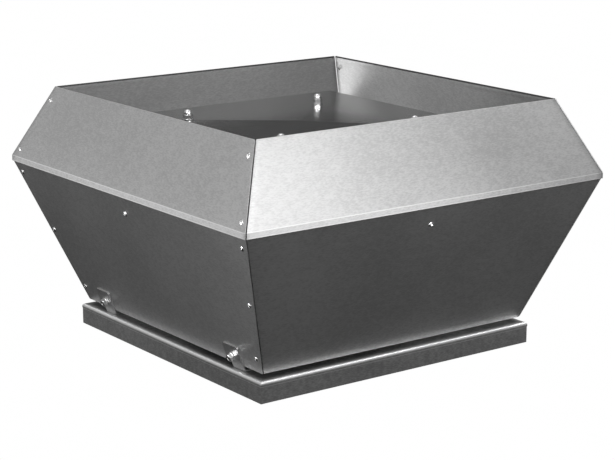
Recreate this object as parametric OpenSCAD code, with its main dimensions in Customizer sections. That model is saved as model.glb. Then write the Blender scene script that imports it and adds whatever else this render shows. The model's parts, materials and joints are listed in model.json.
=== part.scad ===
// Square roof exhaust fan that throws its air straight up. A sheet-metal head carries the motor and the
// impeller and tilts open on two hinges at +X. Origin: middle of the base's bottom. +Z is up, and the
// lock side, with its two brackets, is at -X.

/* [Base] */
// Side of the square base
base_side = 595; // [580:1:620]
// Height of the base's top face
base_height = 38.3; // [36:0.1:39]
// Side of the square of mounting holes
curb_hole_spacing = 450; // [440:1:460]
// Diameter of the mounting holes
curb_hole_d = 12; // [9:0.5:14]
// Diameter of the circle of rivet nuts under the base
accessory_pcd = 438; // [430:1:446]

/* [Housing] */
// Gap that lets water drain between base and housing
drain_gap = 8.8; // [8:0.1:12]
// Half width of the housing at its lower edge
lower_half = 286.65; // [284:0.05:289]
// Half width of the housing at its waist
waist_half = 387.4; // [380:0.1:395]
// Height of the waist band's middle
waist_z = 317; // [305:0.1:322]
// Height of the waist band
band_height = 10.5; // [6:0.5:12]
// Half width of the outlet at the top rim
rim_half = 324.9; // [318:0.1:332]
// Height of the top rim
rim_z = 454.6; // [445:0.1:465]
// Thickness of the housing sheet
sheet = 1.5; // [1.2:0.1:1.6]

/* [Motor compartment] */
// Half width of the compartment
room_half = 262; // [255:1:264]
// Underside of the motor plate
motor_plate_z = 186; // [184:1:188]
// Half width of the lid
lid_half = 271; // [268:1:273]
// Height of the lid's edge
lid_edge_z = 394.4; // [392:0.1:396]
// Rise of the lid from its edge to its middle
lid_rise = 7.5; // [6:0.5:9]
// Distance of the lid studs from the middle, along each side
stud_offset = 148; // [140:1:156]

/* [Impeller] */
// Radius of the impeller
wheel_r = 200; // [195:1:203]
// Number of blades
blade_count = 7; // [5:1:11]
// Radius of the inlet cone's throat
throat_r = 134; // [130:1:135]

/* [Hidden] */

$fn = 48;
gap = 0.1;             // between sheets that lie on one another
bore_gap = 0.05;       // between a fastener and its hole, per side
front = 0;             // faces are counted by quarter turns from the front, at -Y
right = 1;
back = 2;
left = 3;
cut = 1;               // how far a cutter reaches past what it cuts

// Base
base_sheet = 2;
base_bend_r = 5;
rim_flange = 8;        // depth of the base plate's turned-down edge
skirt_step = 0.6;      // how far the skirt stands back from that edge
skirt_return = 15;     // width of the skirt's turned-in bottom edge
base_half = base_side / 2;
skirt_half = base_half - skirt_step;
skirt_top = base_height - base_sheet - gap;
skirt_sheet = 1.5;
gasket_width = 25;
gasket_thick = 4;

// Housing slopes
housing_z = base_height + drain_gap;
band_low = waist_z - band_height / 2;
band_high = waist_z + band_height / 2;
lip_half = waist_half - sheet - 0.3;
lower_lean = atan((lip_half - lower_half) / (band_low - housing_z));
upper_lean = atan((waist_half - rim_half) / (rim_z - band_high));
lower_length = (band_low - housing_z) / cos(lower_lean);
upper_length = (rim_z - band_high) / cos(upper_lean);
corner_flange = 25;    // width of the flanges that the corner rivets go through
bottom_flange = 14;
hem_height = 12;
seam = sheet / cos(lower_lean) + 0.3;

// Fasteners
rivet_r = 2.4;
rivet_head_r = 4.7;
rivet_head_h = 1.6;
lower_rivet_z = [75, 183, 292];
upper_rivet_z = [336, 429.5];
rivet_inset = 13.5;    // from the housing's corner edge
mid_screw_z = 279;
m5_r = 2.5;
m6_r = 3;
m8_r = 4;
m10_r = 5;

// Lock brackets, on the left face
lock_y = [-212, 212];
lock_width = 45;
lock_leg = 34;         // width of the leg that reaches the base
lock_sheet = 2.5;
lock_bolt_y = [-208.5, 212];
lock_bolt_s = 16;      // along the slope from the housing's lower edge
foot_length = 22;      // of the bracket's foot, inwards over the base plate
foot_screw = 8;        // how far inside the leg the foot screws stand
foot_gap = 0.5;        // round the foot screws, which lift out of the base with the head

// Hinges, on the right face
hinge_x = base_half + 6;
hinge_z = 46;
hinge_y = [-200, 200];
knuckle_r = 6;
pin_r = 3;
knuckle = 19;          // length of the middle knuckle
leaf_width = 45;
leaf_sheet = 3;

// Compartment
plate_sheet = 3;
room_floor = motor_plate_z + plate_sheet;
room_flange = 20;
seal_thick = 3;
lid_sheet = 1.5;
lid_flange = 12;       // depth of the lid's drip edge
room_top = lid_edge_z - lid_sheet - seal_thick - 2 * gap;
lid_slope = atan(lid_rise / lid_half);
stud_z = lid_edge_z + lid_rise * (1 - stud_offset / lid_half);
washer_thick = 2;
washer_z = stud_z + 0.3;
cap_z = washer_z + washer_thick;
stay_height = 34;
stay_width = 30;
stay_sheet = 3;
conduit_r = 9;
conduit_s = 195;       // along the slope of the back face
conduit_x = 70;

// Motor, all around the Z axis
motor_base = room_floor + gap;
flange_r = 80;
flange_thick = 10;
flange_bolt_r = 65;
body_r = 70;
body_inner_r = 64;
fin_r = 77;
fin_count = 24;
body_low = motor_base + flange_thick;
body_high = 330;
shield_high = 342;
cowl_inner_r = fin_r + 1;
cowl_sheet = 1.5;
cowl_low = 322;
cowl_high = 383;
core_low = 226;
core_high = 304;
rotor_r = 37.6;
stator_inner_r = 38;
big_bearing = [10, 23.5, 14, 193];    // bore radius, outer radius, width, height of its underside
small_bearing = [8.5, 20, 12, 329];
box_width = 74;        // of the terminal box
box_low = 246;
box_high = 312;
box_depth = 36;
shaft_end_r = 9.5;
shaft_low = 149;

// Impeller
wheel_top = 170;
wheel_sheet = 2;
eye_r = throat_r + 6;
eye_z = 84;
outlet_z = 101;        // underside of the shroud at the wheel's outer edge
blade_arc_r = 257;     // radius of a blade's curve
blade_arc_x = 158.5;   // distance of that curve's centre from the axis
blade_root_r = 112;
hub_r = 32;
cone_arc_r = 48;
cone_flange_r = 205;
cone_screw_r = 195;

function lower_half_at(z) = lower_half + (z - housing_z) * tan(lower_lean);
function upper_half_at(z) = waist_half - (z - band_high) * tan(upper_lean);
function lower_s(z) = (z - housing_z) / cos(lower_lean);
function upper_s(z) = (z - band_high) / cos(upper_lean);

// Puts children in a sloping face's own axes: X along the face, Y up the slope, Z outwards
module on_lower(side) {
    rotate([0, 0, 90 * side]) translate([0, -lower_half, housing_z]) rotate([90 + lower_lean, 0, 0])
        children();
}

module on_upper(side) {
    rotate([0, 0, 90 * side]) translate([0, -waist_half, band_high]) rotate([90 - upper_lean, 0, 0])
        children();
}

module ring(outer, inner, low, high) {
    translate([0, 0, low]) difference() {
        cylinder(r = outer, h = high - low);
        translate([0, 0, -cut]) cylinder(r = inner, h = high - low + 2 * cut);
    }
}

module hex(across_flats, height) {
    cylinder(r = across_flats / sqrt(3), h = height, $fn = 6);
}

// A dome of radius r and height h standing on z = 0
module dome(r, h) {
    ball = (r * r + h * h) / (2 * h);
    intersection() {
        translate([0, 0, h - ball]) sphere(r = ball);
        cylinder(r = r + cut, h = h + cut);
    }
}

module at_corners(offset) {
    for (sx = [-1, 1], sy = [-1, 1]) translate([sx * offset, sy * offset, 0]) children();
}

// Base -------------------------------------------------------------------------------------------

// A square block whose four top edges are rounded, minus its inside
module rounded_tray(half, low, high, wall, r) {
    difference() {
        translate([-half, -half, low]) cube([2 * half, 2 * half, high - low]);
        for (side = [0:3]) rotate([0, 0, 90 * side])
            translate([-half - cut, -half, high]) rotate([0, 90, 0]) linear_extrude(2 * (half + cut))
                difference() {
                    translate([-cut, -cut]) square([r + cut, r + cut]);
                    translate([r, r]) circle(r = r);
                }
        translate([wall - half, wall - half, low - cut])
            cube([2 * (half - wall), 2 * (half - wall), high - low - wall + cut]);
    }
}

module accessory_sites() {
    for (i = [0:5]) rotate([0, 0, 60 * i + 30]) translate([accessory_pcd / 2, 0, 0]) children();
}

module cone_screw_sites() {
    for (i = [0:7]) rotate([0, 0, 45 * i]) translate([cone_screw_r, 0, 0]) children();
}

module lock_foot_sites() {
    for (y = lock_y)
        translate([foot_screw - lower_half_at(base_height), y - lock_width / 2 + lock_leg / 2, 0])
            children();
}

module base_plate() {
    low = base_height - base_sheet;
    color("dimgray") difference() {
        rounded_tray(base_half, base_height - rim_flange, base_height, base_sheet, base_bend_r);
        translate([0, 0, low - cut]) cylinder(r = throat_r + cone_arc_r + 1, h = base_sheet + 2 * cut);
        at_corners(curb_hole_spacing / 2)
            translate([0, 0, low - cut]) cylinder(d = curb_hole_d, h = base_sheet + 2 * cut);
        accessory_sites()
            translate([0, 0, low - cut]) cylinder(r = m8_r + 1.5 + bore_gap, h = base_sheet + 2 * cut);
        cone_screw_sites()
            translate([0, 0, low - cut]) cylinder(r = m5_r + bore_gap, h = base_sheet + 2 * cut);
        lock_foot_sites()
            translate([0, 0, low - cut]) cylinder(r = m5_r + foot_gap, h = base_sheet + 2 * cut);
    }
}

module skirt_frame() {
    inner = skirt_half - skirt_sheet;
    open = skirt_half - skirt_return;
    // the upper stretch stands back so that the base plate's edge goes over it
    tuck = base_half - base_sheet - gap;
    color("dimgray") difference() {
        union() {
            translate([-skirt_half, -skirt_half, 0])
                cube([2 * skirt_half, 2 * skirt_half, base_height - rim_flange - gap]);
            translate([-tuck, -tuck, 0]) cube([2 * tuck, 2 * tuck, skirt_top]);
        }
        translate([-inner, -inner, skirt_sheet])
            cube([2 * inner, 2 * inner, base_height - rim_flange - gap - 2 * skirt_sheet]);
        translate([skirt_sheet - tuck, skirt_sheet - tuck, skirt_sheet])
            cube([2 * (tuck - skirt_sheet), 2 * (tuck - skirt_sheet), base_height]);
        translate([-open, -open, -cut]) cube([2 * open, 2 * open, base_height]);
        hinge_base_sites() hinge_base_holes();
    }
}

module curb_gasket() {
    outer = base_half - base_sheet - skirt_sheet - 2 * gap - 0.5;
    color("black") difference() {
        translate([-outer, -outer, skirt_top - gasket_thick]) cube([2 * outer, 2 * outer, gasket_thick]);
        translate([gasket_width - outer, gasket_width - outer, 0])
            cube([2 * (outer - gasket_width), 2 * (outer - gasket_width), base_height]);
        lock_foot_sites() cylinder(r = m5_r + foot_gap, h = base_height);
    }
}

// Bell mouth that leads the air into the impeller's eye
module inlet_cone() {
    arc_x = throat_r + cone_arc_r;
    arc_z = base_height + gap + cone_arc_r;
    color("silver") difference() {
        rotate_extrude($fn = 96) {
            intersection() {
                translate([arc_x, arc_z]) difference() {
                    circle(r = cone_arc_r);
                    circle(r = cone_arc_r - sheet);
                }
                translate([throat_r - cut, base_height]) square([cone_arc_r + cut, cone_arc_r + gap]);
            }
            translate([throat_r, arc_z - 0.2]) square([sheet, eye_z + 4 - arc_z + 0.2]);
            translate([arc_x - 0.2, base_height + gap])
                square([cone_flange_r - arc_x + 0.2, sheet]);
        }
        cone_screw_sites()
            translate([0, 0, base_height - cut]) cylinder(r = m5_r + bore_gap, h = 3 * cut + sheet);
    }
}

module cone_screws() {
    head_z = base_height + gap + sheet + gap;
    color("lightgray") cone_screw_sites() {
        translate([0, 0, head_z]) hex(8, 3.5);
        translate([0, 0, head_z - 9]) cylinder(r = m5_r, h = 9.5);
        translate([0, 0, base_height - base_sheet - gap - 4]) difference() {
            hex(8, 4);
            translate([0, 0, -cut]) cylinder(r = m5_r + bore_gap, h = 4 + 2 * cut);
        }
    }
}

module rivet_nuts() {
    low = base_height - base_sheet - gap - 1;
    color("gold") accessory_sites() translate([0, 0, low]) difference() {
        union() {
            cylinder(r = m8_r + 3.5, h = 1);
            cylinder(r = m8_r + 1.5, h = 10);
            translate([0, 0, base_sheet + 1 + 2 * gap]) cylinder(r = m8_r + 2.2, h = 4);
        }
        translate([0, 0, -cut]) cylinder(r = m8_r, h = 10 + 2 * cut);
    }
}

// Hinges -----------------------------------------------------------------------------------------

module hinge_base_sites() {
    for (y = hinge_y) translate([base_half, y, 0]) children();
}

// Screw holes of the base leaves, with X = 0 at the base plate's outer face
module hinge_base_holes() {
    for (dy = [-14, 14]) translate([-20, dy, 16]) rotate([0, 90, 0])
        cylinder(r = m5_r + bore_gap, h = 40);
}

module hinge_base_leaves() {
    reach = hinge_x - base_half;
    color("silver") hinge_base_sites() difference() {
        union() {
            translate([gap, -leaf_width / 2, 6]) cube([leaf_sheet, leaf_width, hinge_z - knuckle_r - 7]);
            for (dy = [-leaf_width / 2, knuckle / 2 + 0.4])
                translate([0, dy, 0]) rotate([90, 0, 0]) mirror([0, 0, 1])
                    linear_extrude(leaf_width / 2 - knuckle / 2 - 0.4) {
                        translate([reach, hinge_z]) circle(r = knuckle_r);
                        polygon([[gap, 30], [gap + leaf_sheet, 30], [reach + 2, hinge_z - 4],
                            [reach - 5, hinge_z], [gap, hinge_z - 6]]);
                    }
        }
        translate([reach, -50, hinge_z]) rotate([-90, 0, 0]) cylinder(r = pin_r + bore_gap, h = 100);
        hinge_base_holes();
    }
}

module hinge_base_screws() {
    color("lightgray") hinge_base_sites() for (dy = [-14, 14]) translate([gap + leaf_sheet + gap, dy, 16])
        rotate([0, 90, 0]) {
            dome(4.7, 2.2);
            translate([0, 0, -9]) cylinder(r = m5_r, h = 9.3);
        }
}

module hinge_pins() {
    length = leaf_width + 1;
    color("lightgray") for (y = hinge_y) translate([hinge_x, y - length / 2, hinge_z])
        rotate([-90, 0, 0]) {
            cylinder(r = pin_r, h = length);
            translate([0, 0, -1.5]) cylinder(r = pin_r + 1.5, h = 1.6);
            translate([0, 0, length - 0.1]) cylinder(r = pin_r + 1.5, h = 1.6);
        }
}

// Screw holes of the head leaves, in the right lower panel's own axes
module hinge_head_holes() {
    for (y = hinge_y, dx = [-14, 14]) translate([y + dx, 32, -12]) cylinder(r = m5_r + bore_gap, h = 24);
}

module hinge_head_leaves() {
    run_out = hinge_x - lower_half;
    rise = hinge_z - housing_z;
    pin_s = run_out * sin(lower_lean) + rise * cos(lower_lean);
    pin_n = run_out * cos(lower_lean) - rise * sin(lower_lean);
    color("silver") difference() {
        on_lower(right) for (y = hinge_y) {
            translate([y - leaf_width / 2, 18, gap]) cube([leaf_width, 26, leaf_sheet]);
            translate([y - knuckle / 2, 0, 0]) rotate([90, 0, 90]) linear_extrude(knuckle) {
                translate([pin_s, pin_n]) circle(r = knuckle_r);
                polygon([[pin_s - 2, pin_n + 4], [pin_s + 5, pin_n + 2], [22, gap + leaf_sheet],
                    [22, gap], [17, gap]]);
            }
        }
        translate([hinge_x, -base_half, hinge_z]) rotate([-90, 0, 0])
            cylinder(r = pin_r + bore_gap, h = base_side);
        on_lower(right) hinge_head_holes();
    }
}

module hinge_head_screws() {
    color("lightgray") on_lower(right) for (y = hinge_y, dx = [-14, 14])
        translate([y + dx, 32, gap + leaf_sheet + gap]) {
            dome(4.7, 2.2);
            translate([0, 0, -9]) cylinder(r = m5_r, h = 9.3);
        }
}

// Housing ----------------------------------------------------------------------------------------

// The corner rivets go through the left and right panels. Their places are along both side edges
module lower_rivet_sites(side) {
    on_lower(side) for (z = lower_rivet_z, end = [-1, 1])
        translate([end * (lower_half_at(z) - rivet_inset), lower_s(z), 0]) children();
}

module upper_rivet_sites(side) {
    on_upper(side) for (z = upper_rivet_z, end = [-1, 1])
        translate([end * (upper_half_at(z) - rivet_inset), upper_s(z), 0]) children();
}

module sheet_hole(r) {
    translate([0, 0, -12]) cylinder(r = r, h = 24);
}

module slope_plate(bottom, top, length, inset) {
    translate([0, 0, -sheet]) linear_extrude(sheet) polygon([[inset - bottom, 0], [bottom - inset, 0],
        [top - inset, length], [inset - top, length]]);
}

// A strip along one side edge of the neighbouring face, behind that face's sheet
module corner_strip(end, bottom, top, length) {
    skin = 0.4;
    translate([0, 0, -2 * sheet - gap]) linear_extrude(sheet) polygon([[end * (bottom - skin), 3],
        [end * (bottom - corner_flange), 3], [end * (top - corner_flange), length - 3],
        [end * (top - skin), length - 3]]);
}

module lower_sheet(side, inset) {
    on_lower(side) slope_plate(lower_half, lip_half, lower_length, inset);
    rotate([0, 0, 90 * side]) {
        translate([inset - lip_half, -lip_half, band_low - 0.6])
            cube([2 * (lip_half - inset), sheet, band_height]);
        translate([0, -lower_half, housing_z]) linear_extrude(sheet)
            polygon([[inset + 1 - lower_half, 0], [lower_half - inset - 1, 0],
                [lower_half - bottom_flange - 2.5, bottom_flange],
                [bottom_flange + 2.5 - lower_half, bottom_flange]]);
    }
}

module lower_panel(side) {
    riveted_over = side % 2 == 1;
    color("slategray") difference() {
        union() {
            lower_sheet(side, riveted_over ? 0 : seam);
            if (!riveted_over) {
                on_lower((side + 1) % 4) corner_strip(-1, lower_half, lip_half, lower_length);
                on_lower((side + 3) % 4) corner_strip(1, lower_half, lip_half, lower_length);
            }
        }
        on_lower(side) translate([0, lower_s(mid_screw_z), 0]) sheet_hole(m6_r + bore_gap);
        lower_rivet_sites(right) sheet_hole(rivet_r + bore_gap);
        lower_rivet_sites(left) sheet_hole(rivet_r + bore_gap);
        if (side == left) on_lower(left) lock_bolt_sites() sheet_hole(m8_r + bore_gap);
        if (side == right) on_lower(right) hinge_head_holes();
        if (side == back) on_lower(back) translate([conduit_x, conduit_s, 0]) sheet_hole(conduit_r + gap);
    }
}

module upper_sheet(side, inset) {
    on_upper(side) {
        slope_plate(waist_half, rim_half, upper_length, inset);
        // the top edge is folded back on itself
        translate([0, 0, -2 * sheet]) linear_extrude(sheet + 0.2) polygon([
            [5 - rim_half, upper_length - hem_height], [rim_half - 5, upper_length - hem_height],
            [rim_half - 5, upper_length], [5 - rim_half, upper_length]]);
    }
    rotate([0, 0, 90 * side]) translate([inset - waist_half, -waist_half, band_low])
        cube([2 * (waist_half - inset), sheet, band_height]);
}

module upper_panel(side) {
    riveted_over = side % 2 == 1;
    color("darkgray") difference() {
        union() {
            upper_sheet(side, riveted_over ? 0 : seam);
            if (!riveted_over) {
                on_upper((side + 1) % 4) corner_strip(-1, waist_half, rim_half, upper_length - hem_height);
                on_upper((side + 3) % 4) corner_strip(1, waist_half, rim_half, upper_length - hem_height);
            }
        }
        upper_rivet_sites(right) sheet_hole(rivet_r + bore_gap);
        upper_rivet_sites(left) sheet_hole(rivet_r + bore_gap);
    }
}

// Blind rivet: dome outside, shank through both sheets, bulb inside
module rivet() {
    grip = 2 * sheet + 2 * gap;
    translate([0, 0, gap]) dome(rivet_head_r, rivet_head_h);
    translate([0, 0, -grip]) cylinder(r = rivet_r, h = grip + gap + 0.3);
    translate([0, 0, -grip - 3]) cylinder(r = rivet_r + 1.1, h = 3);
}

module lower_corner_rivets() {
    color("whitesmoke") for (side = [left, right]) lower_rivet_sites(side) rivet();
}

module upper_corner_rivets() {
    color("whitesmoke") for (side = [left, right]) upper_rivet_sites(side) rivet();
}

// Stays that carry the motor compartment in the middle of the housing
module stay(side) {
    s = lower_s(mid_screw_z);
    low = mid_screw_z - stay_height / 2;
    high = mid_screw_z + stay_height / 2;
    tab_back = (sheet + gap + stay_sheet / 2) / cos(lower_lean);
    inner = room_half + gap;
    difference() {
        union() {
            on_lower(side) translate([-stay_width / 2, s - stay_height / 2, -sheet - gap - stay_sheet])
                cube([stay_width, stay_height, stay_sheet]);
            rotate([0, 0, 90 * side]) {
                translate([-stay_width / 2, -inner - stay_sheet, low])
                    cube([stay_width, stay_sheet, stay_height]);
                translate([-stay_width / 2, 0, 0]) rotate([90, 0, 90]) linear_extrude(stay_sheet)
                    polygon([[-inner - stay_sheet / 2, low + 2],
                        [tab_back - lower_half_at(low + 2), low + 2],
                        [tab_back - lower_half_at(high - 6), high - 6],
                        [-inner - stay_sheet / 2, high - 6]]);
            }
        }
        on_lower(side) translate([0, s, 0]) sheet_hole(m6_r + bore_gap);
        stay_bolt_sites(side) translate([0, 0, -12]) cylinder(r = m6_r + bore_gap, h = 24);
    }
}

// Two bolts hold each stay to the compartment wall, Z outwards
module stay_bolt_sites(side) {
    rotate([0, 0, 90 * side]) for (dz = [-9, 9])
        translate([5, -room_half, mid_screw_z + dz]) rotate([90, 0, 0]) children();
}

module support_stays() {
    color("silver") for (side = [0:3]) stay(side);
}

module stay_screws() {
    color("whitesmoke") for (side = [0:3]) on_lower(side)
        translate([0, lower_s(mid_screw_z), gap]) {
            dome(5, 2.4);
            translate([0, 0, -11]) cylinder(r = m6_r, h = 11.3);
            translate([0, 0, -sheet - stay_sheet - 3 * gap - 5]) difference() {
                hex(10, 5);
                translate([0, 0, -cut]) cylinder(r = m6_r + bore_gap, h = 5 + 2 * cut);
            }
        }
}

module stay_bolts() {
    color("lightgray") for (side = [0:3]) stay_bolt_sites(side)
        translate([0, 0, stay_sheet + 2 * gap]) {
            hex(10, 4);
            translate([0, 0, -10]) cylinder(r = m6_r, h = 10.3);
            translate([0, 0, -stay_sheet - sheet - 4 * gap - 5]) difference() {
                hex(10, 5);
                translate([0, 0, -cut]) cylinder(r = m6_r + bore_gap, h = 5 + 2 * cut);
            }
        }
}

// Lock brackets ----------------------------------------------------------------------------------

// On the left face's own axes: X runs towards -Y there, so the signs of the list are turned
module lock_bolt_sites() {
    for (y = lock_bolt_y) translate([-y, lock_bolt_s, 0]) children();
}

module lock_brackets() {
    foot_z = base_height + gap;
    plate_top = lower_s(84);
    leg_low = lower_s(foot_z + 1.2);
    foot_out = lower_half_at(foot_z) + 2;
    color("silver") difference() {
        union() {
            on_lower(left) for (y = lock_y) translate([-y, 0, gap]) linear_extrude(lock_sheet) union() {
                translate([-lock_width / 2, 3]) square([lock_width, plate_top - 7]);
                translate([4 - lock_width / 2, 3]) square([lock_width - 8, plate_top - 3]);
                for (end = [-1, 1]) translate([end * (lock_width / 2 - 4), plate_top - 4]) circle(r = 4);
                translate([lock_width / 2 - lock_leg, leg_low]) square([lock_leg, 5 - leg_low]);
            }
            // the foot turns in under the housing
            for (y = lock_y) translate([-foot_out, y - lock_width / 2, foot_z])
                cube([foot_length, lock_leg, lock_sheet]);
        }
        on_lower(left) lock_bolt_sites() sheet_hole(m8_r + bore_gap);
        lock_foot_sites() cylinder(r = m5_r + bore_gap, h = 60);
    }
}

module lock_bolts() {
    color("white") on_lower(left) lock_bolt_sites() translate([0, 0, gap + lock_sheet + gap]) {
        ring(8, m8_r + bore_gap, 0, 1.6);
        translate([0, 0, 1.7]) hex(13, 6.5);
        translate([0, 0, -12]) cylinder(r = m8_r, h = 24);
    }
}

module lock_nuts() {
    color("lightgray") on_lower(left) lock_bolt_sites() translate([0, 0, -sheet - gap - 6.5])
        difference() {
            hex(13, 6.5);
            translate([0, 0, -cut]) cylinder(r = m8_r + bore_gap, h = 6.5 + 2 * cut);
        }
}

module lock_foot_screws() {
    color("whitesmoke") lock_foot_sites() translate([0, 0, base_height + lock_sheet + 2 * gap]) {
        dome(4.2, 2.4);
        translate([0, 0, -9]) cylinder(r = m5_r, h = 9.3);
    }
}

// Cable inlet ------------------------------------------------------------------------------------

// Straight pipe square to the back panel, cut off at the compartment wall
module cable_conduit() {
    color("gray") difference() {
        on_lower(back) translate([conduit_x, conduit_s, -150]) difference() {
            cylinder(r = conduit_r, h = 152);
            translate([0, 0, -cut]) cylinder(r = conduit_r - 1.5, h = 152 + 2 * cut);
        }
        translate([-base_half, 0, 0]) cube([base_side, room_half + gap, rim_z]);
    }
}

module cable_gland() {
    color("dimgray") on_lower(back) translate([conduit_x, conduit_s, 2.2]) difference() {
        union() {
            hex(27, 6);
            cylinder(r = 12, h = 18);
            translate([0, 0, 8]) hex(25, 8);
        }
        translate([0, 0, -cut]) cylinder(r = 6, h = 18 + 2 * cut);
    }
}

// Compartment ------------------------------------------------------------------------------------

module motor_bolt_sites() {
    for (i = [0:3]) rotate([0, 0, 90 * i + 45]) translate([flange_bolt_r, 0, 0]) children();
}

module motor_plate() {
    color("silver") translate([0, 0, motor_plate_z]) difference() {
        translate([-room_half, -room_half, 0]) cube([2 * room_half, 2 * room_half, plate_sheet]);
        translate([0, 0, -cut]) cylinder(r = big_bearing[1] + 1, h = plate_sheet + 2 * cut);
        motor_bolt_sites() translate([0, 0, -cut]) cylinder(r = m8_r + bore_gap, h = plate_sheet + 2 * cut);
        at_corners(stud_offset)
            translate([0, 0, -cut]) cylinder(r = m10_r + bore_gap, h = plate_sheet + 2 * cut);
    }
}

// One folded wall, with flanges turned in at the floor and under the lid
module room_wall(side) {
    inset = side % 2 == 1 ? 0 : sheet + gap;
    width = room_half - inset;
    low = room_floor + gap;
    color("gray") difference() {
        rotate([0, 0, 90 * side]) {
            translate([-width, -room_half, low]) cube([2 * width, sheet, room_top - low]);
            for (z = [low, room_top - sheet]) translate([0, -room_half, z]) linear_extrude(sheet)
                polygon([[inset + 2 - room_half, 0], [room_half - inset - 2, 0],
                    [room_half - room_flange - 3, room_flange], [room_flange + 3 - room_half, room_flange]]);
        }
        stay_bolt_sites(side) translate([0, 0, -12]) cylinder(r = m6_r + bore_gap, h = 24);
        if (side == back) on_lower(back) translate([conduit_x, conduit_s, -150])
            cylinder(r = conduit_r - 1.5, h = 150);
    }
}

// Solid with a square base and a four-sided top, as high as the lid or lower by drop
module lid_solid(half, low, drop) {
    difference() {
        translate([-half, -half, low]) cube([2 * half, 2 * half, lid_edge_z + lid_rise + cut - low]);
        for (side = [0:3]) rotate([0, 0, 90 * side]) translate([0, -lid_half, lid_edge_z - drop])
            rotate([lid_slope, 0, 0]) translate([-lid_half * 2, -lid_half, 0])
                cube([4 * lid_half, 4 * lid_half, 40]);
    }
}

module lid() {
    color("silver") difference() {
        lid_solid(lid_half, lid_edge_z - lid_flange, 0);
        lid_solid(lid_half - lid_sheet, lid_edge_z - lid_flange - cut, lid_sheet);
        at_corners(stud_offset) translate([0, 0, lid_edge_z - 20]) cylinder(r = m10_r + 0.3, h = 40);
    }
}

module lid_seal() {
    outer = room_half - 2;
    inner = room_half - 16;
    color("black") translate([0, 0, room_top + gap]) difference() {
        translate([-outer, -outer, 0]) cube([2 * outer, 2 * outer, seal_thick]);
        translate([-inner, -inner, -cut]) cube([2 * inner, 2 * inner, seal_thick + 2 * cut]);
    }
}

module lid_studs() {
    color("lightgray") at_corners(stud_offset)
        translate([0, 0, motor_plate_z - 11]) cylinder(r = m10_r, h = cap_z + 11 - motor_plate_z + 11);
}

module lid_stud_nuts() {
    color("lightgray") at_corners(stud_offset) for (z = [motor_plate_z - gap - 8, room_floor + gap])
        translate([0, 0, z]) difference() {
            hex(17, 8);
            translate([0, 0, -cut]) cylinder(r = m10_r + bore_gap, h = 8 + 2 * cut);
        }
}

module lid_washers() {
    color("white") at_corners(stud_offset) ring(10.5, m10_r + 0.2, washer_z, cap_z - gap);
}

// Closed nut: hexagon, neck and ball end over a blind hole
module cap_nuts() {
    color("white") at_corners(stud_offset) translate([0, 0, cap_z]) difference() {
        union() {
            hex(17, 8);
            cylinder(r = 7.9, h = 10);
            translate([0, 0, 10]) sphere(r = 7.9);
        }
        translate([0, 0, -cut]) cylinder(r = m10_r + bore_gap, h = 12 + cut);
        translate([0, 0, -20]) cylinder(r = 12, h = 20);
    }
}

// Motor ------------------------------------------------------------------------------------------

module motor_flange() {
    color("slategray") difference() {
        union() {
            translate([0, 0, motor_base]) cylinder(r = flange_r, h = flange_thick);
            translate([0, 0, motor_base]) cylinder(r = body_inner_r - gap, h = flange_thick + 6);
        }
        translate([0, 0, big_bearing[3]]) cylinder(r = big_bearing[1] + bore_gap, h = 40);
        translate([0, 0, motor_base - cut]) cylinder(r = 16, h = 40);
        motor_bolt_sites() translate([0, 0, motor_base - cut]) cylinder(r = m8_r + bore_gap, h = 40);
    }
}

module motor_bolts() {
    color("lightgray") motor_bolt_sites() translate([0, 0, motor_plate_z - gap - 5.3]) {
        hex(13, 5.3);
        translate([0, 0, 5]) cylinder(r = m8_r, h = plate_sheet + 10);
    }
}

module motor_housing() {
    color("slategray") translate([0, 0, body_low + gap]) linear_extrude(body_high - body_low - gap)
        difference() {
            union() {
                circle(r = body_r);
                for (i = [0:fin_count - 1]) rotate(360 / fin_count * (i + 0.5))
                    translate([body_inner_r + 2, -1.25]) square([fin_r - body_inner_r - 2, 2.5]);
            }
            circle(r = body_inner_r);
        }
}

module stator_core() {
    color("dimgray") ring(body_inner_r - gap, stator_inner_r, core_low, core_high);
}

module stator_windings() {
    color("peru") {
        ring(60, 42, core_low - 10, core_low - gap);
        ring(60, 42, core_high + gap, core_high + 14);
    }
}

module end_shield() {
    color("slategray") difference() {
        union() {
            translate([0, 0, body_high + gap]) cylinder(r = body_r, h = shield_high - body_high - gap);
            translate([0, 0, body_high - 5]) cylinder(r = body_inner_r - gap, h = 6);
        }
        translate([0, 0, small_bearing[3]])
            cylinder(r = small_bearing[1] + bore_gap, h = small_bearing[2] + 0.5);
        translate([0, 0, body_high - 10]) cylinder(r = 15, h = 40);
    }
}

module fan_cowl() {
    outer = cowl_inner_r + cowl_sheet;
    color("dimgray") difference() {
        translate([0, 0, cowl_low]) cylinder(r = outer, h = cowl_high - cowl_low);
        translate([0, 0, cowl_low - cut])
            cylinder(r = cowl_inner_r, h = cowl_high - cowl_low - cowl_sheet + cut);
        for (k = [1:3], i = [0:8 * k - 1]) rotate([0, 0, 360 / (8 * k) * i])
            translate([18 * k, 0, cowl_high - 5]) cylinder(r = 4.5, h = 10);
    }
}

// Terminal box on the back of the motor, open towards +Y under its lid
module terminal_box() {
    wall = 3;
    color("dimgray") difference() {
        translate([-box_width / 2, fin_r + gap, box_low]) cube([box_width, box_depth, box_high - box_low]);
        translate([wall - box_width / 2, fin_r + gap + wall, box_low + wall])
            cube([box_width - 2 * wall, box_depth, box_high - box_low - 2 * wall]);
        translate([0, fin_r + box_depth / 2, box_low - cut]) cylinder(r = 8, h = wall + 2 * cut);
    }
}

module terminal_box_lid() {
    color("gray") translate([-box_width / 2, fin_r + box_depth + 2 * gap, box_low])
        cube([box_width, 4, box_high - box_low]);
}

module bearing_outer_rings() {
    color("lightgray") for (b = [big_bearing, small_bearing]) ring(b[1], b[1] - 3.5, b[3], b[3] + b[2]);
}

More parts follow.
